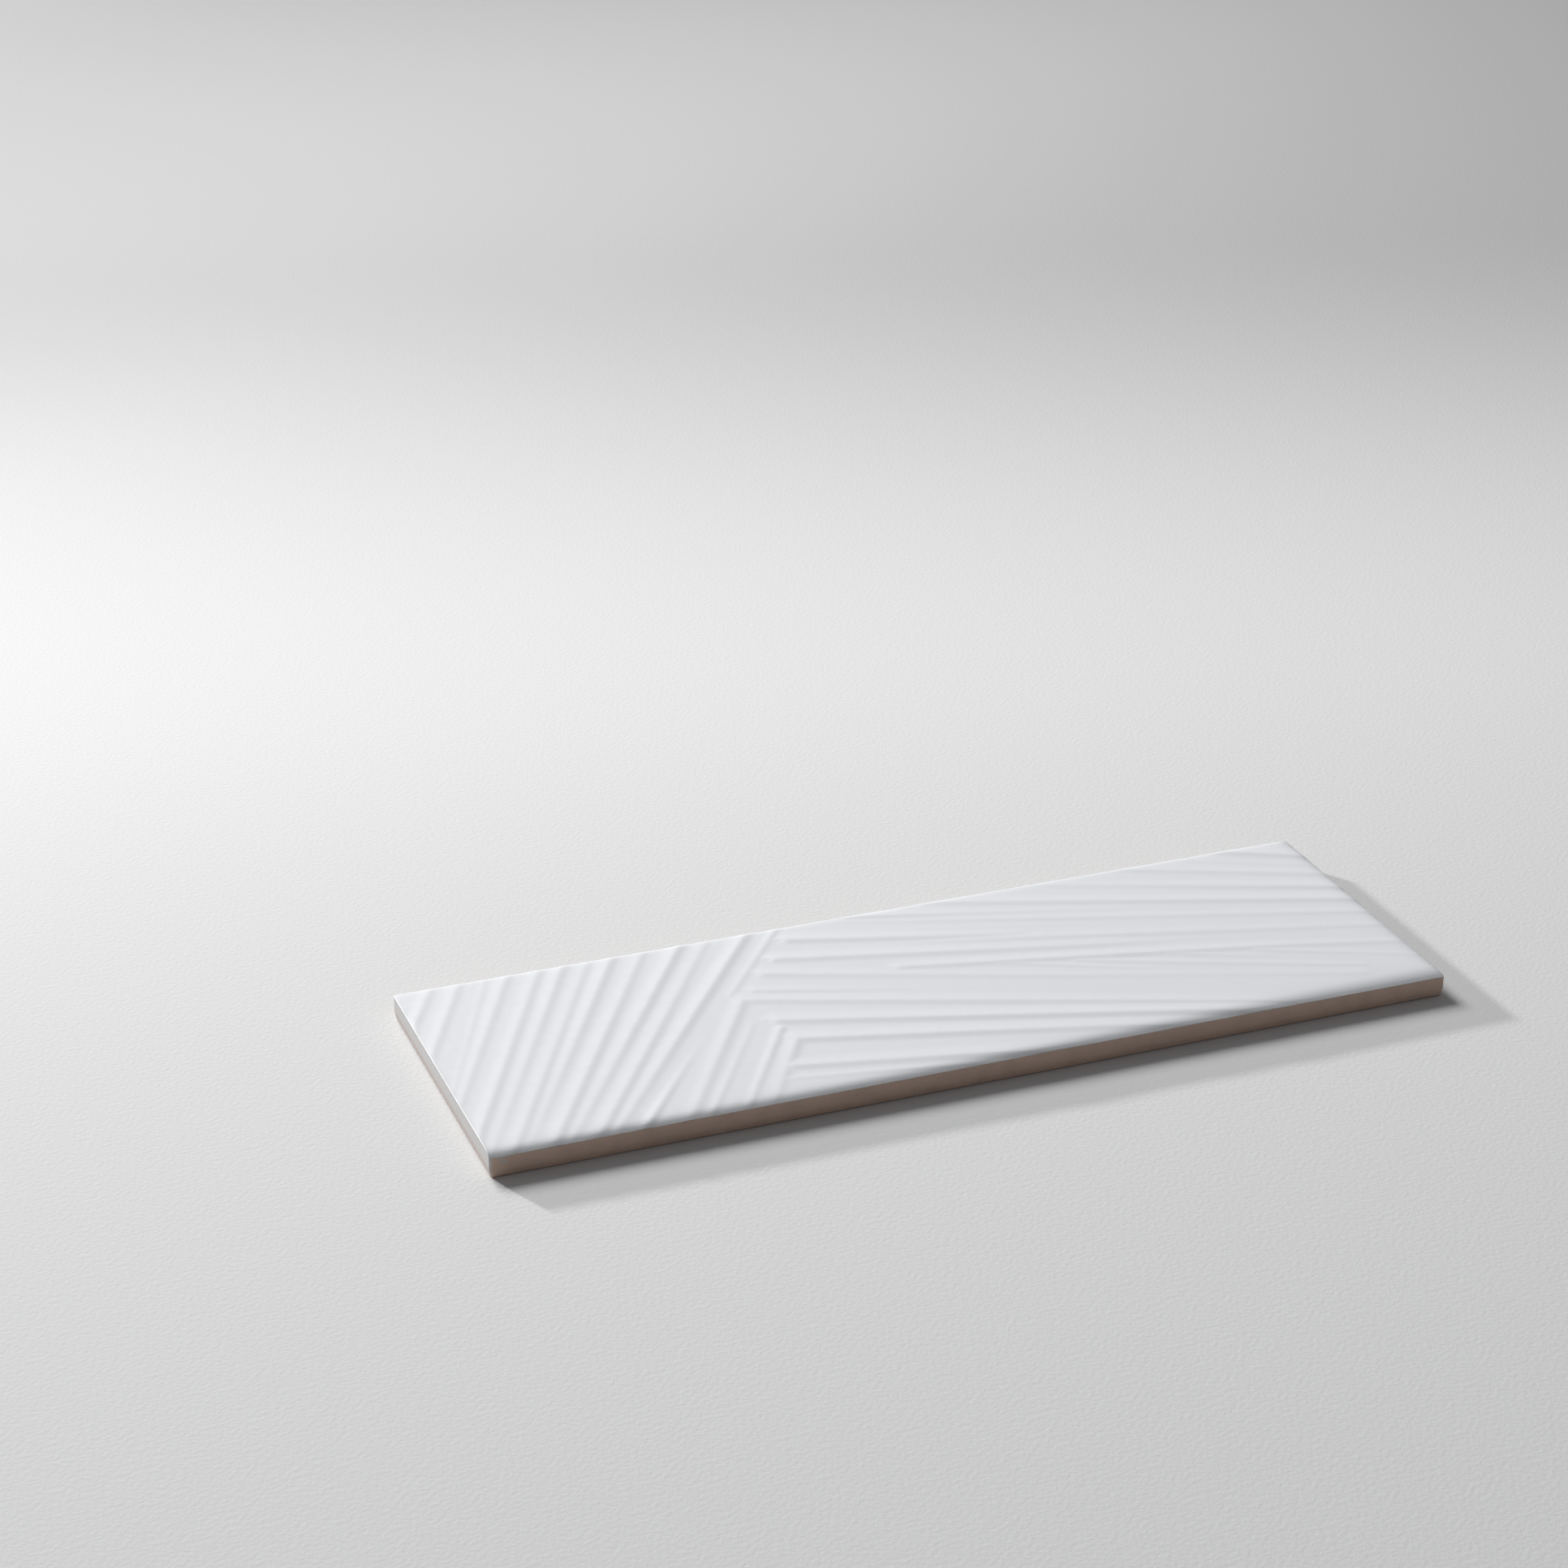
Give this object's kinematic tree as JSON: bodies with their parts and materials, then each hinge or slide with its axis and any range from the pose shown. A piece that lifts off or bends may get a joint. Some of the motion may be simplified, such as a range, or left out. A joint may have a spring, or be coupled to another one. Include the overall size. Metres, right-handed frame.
{
  "type": "ceramic wall tile",
  "caption": "Long rectangular glazed wall tile with raised ribs fanning across its white face, a rolled glaze edge, drawn-in clay sides and a keyed back for adhesive.",
  "frame": {"origin": "centre of the tile's back, on the plane that the lattice of the keyed back lies on", "axes": "+X along the length, +Y across the width towards the back edge as the tile lies in the picture, +Z out of the glazed face"},
  "size_m": [0.3, 0.1, 0.008],
  "materials": {
    "glazed_clay": "satin white glaze on the face, bare pink-brown biscuit clay on the sides and the back"
  },
  "bodies": {
    "root": {"wall_tile": "glazed_clay"}
  },
  "joints": []
}
